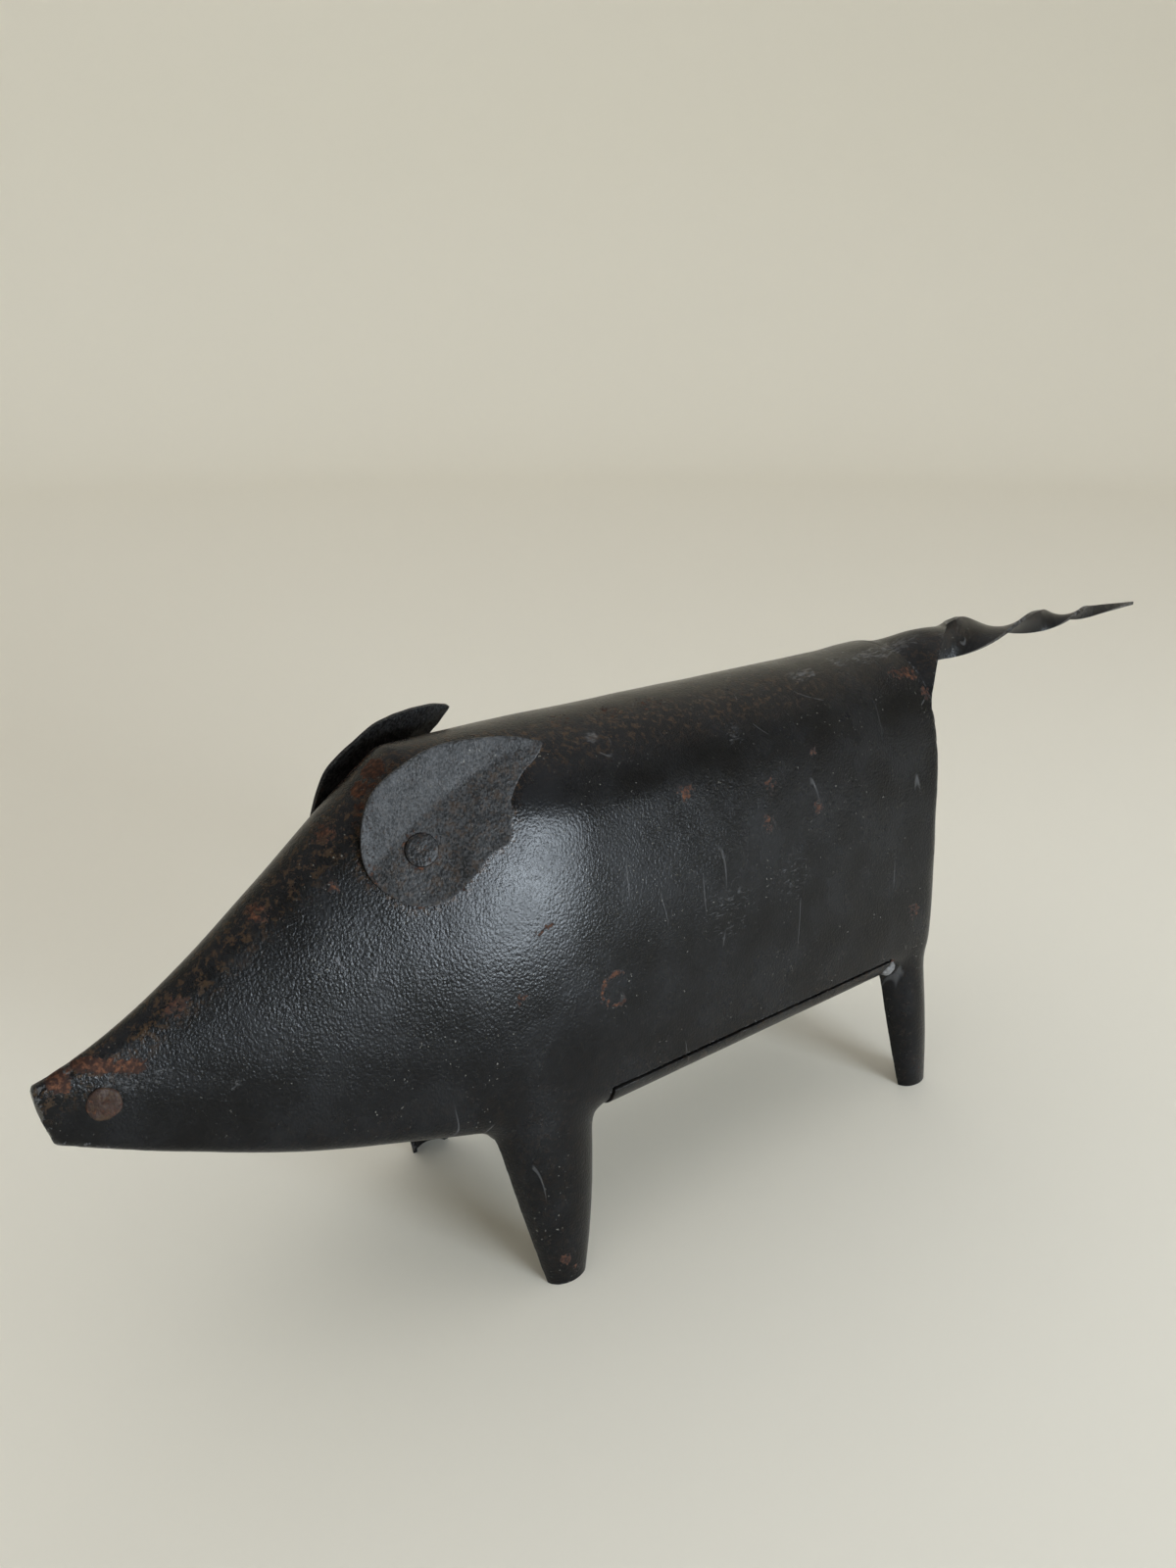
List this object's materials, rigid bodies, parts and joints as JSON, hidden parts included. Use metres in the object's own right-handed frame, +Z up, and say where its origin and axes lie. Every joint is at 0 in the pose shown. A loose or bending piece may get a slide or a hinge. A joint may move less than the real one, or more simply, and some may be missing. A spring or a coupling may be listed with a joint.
{
  "type": "pig figurine",
  "caption": "Folk-art standing pig folded from blackened sheet steel, with riveted leaf ears, trough legs, a pinched snout and a twisted strip tail.",
  "frame": {"origin": "on the floor, under the middle of the whole figure from snout to tail tip", "axes": "+X runs from the snout towards the tail, +Y towards the pig's right side, +Z up"},
  "size_m": [0.429, 0.0764, 0.1469],
  "materials": {
    "blackened_sheet": "satin black, grained, with rust specks",
    "plate_steel": "satin black",
    "ear_steel": "satin black with worn grey edges",
    "ear_rivet_steel": "satin dark grey",
    "snout_rivet_steel": "dull rusty brown",
    "weld_steel": "dull grey with rust"
  },
  "bodies": {
    "root": {"body_sheet": "blackened_sheet", "belly_plate": "plate_steel", "left_ear": "ear_steel", "right_ear": "ear_steel", "left_ear_rivet": "ear_rivet_steel", "right_ear_rivet": "ear_rivet_steel", "snout_rivet": "snout_rivet_steel", "belly_tack_welds": "weld_steel"}
  },
  "joints": []
}
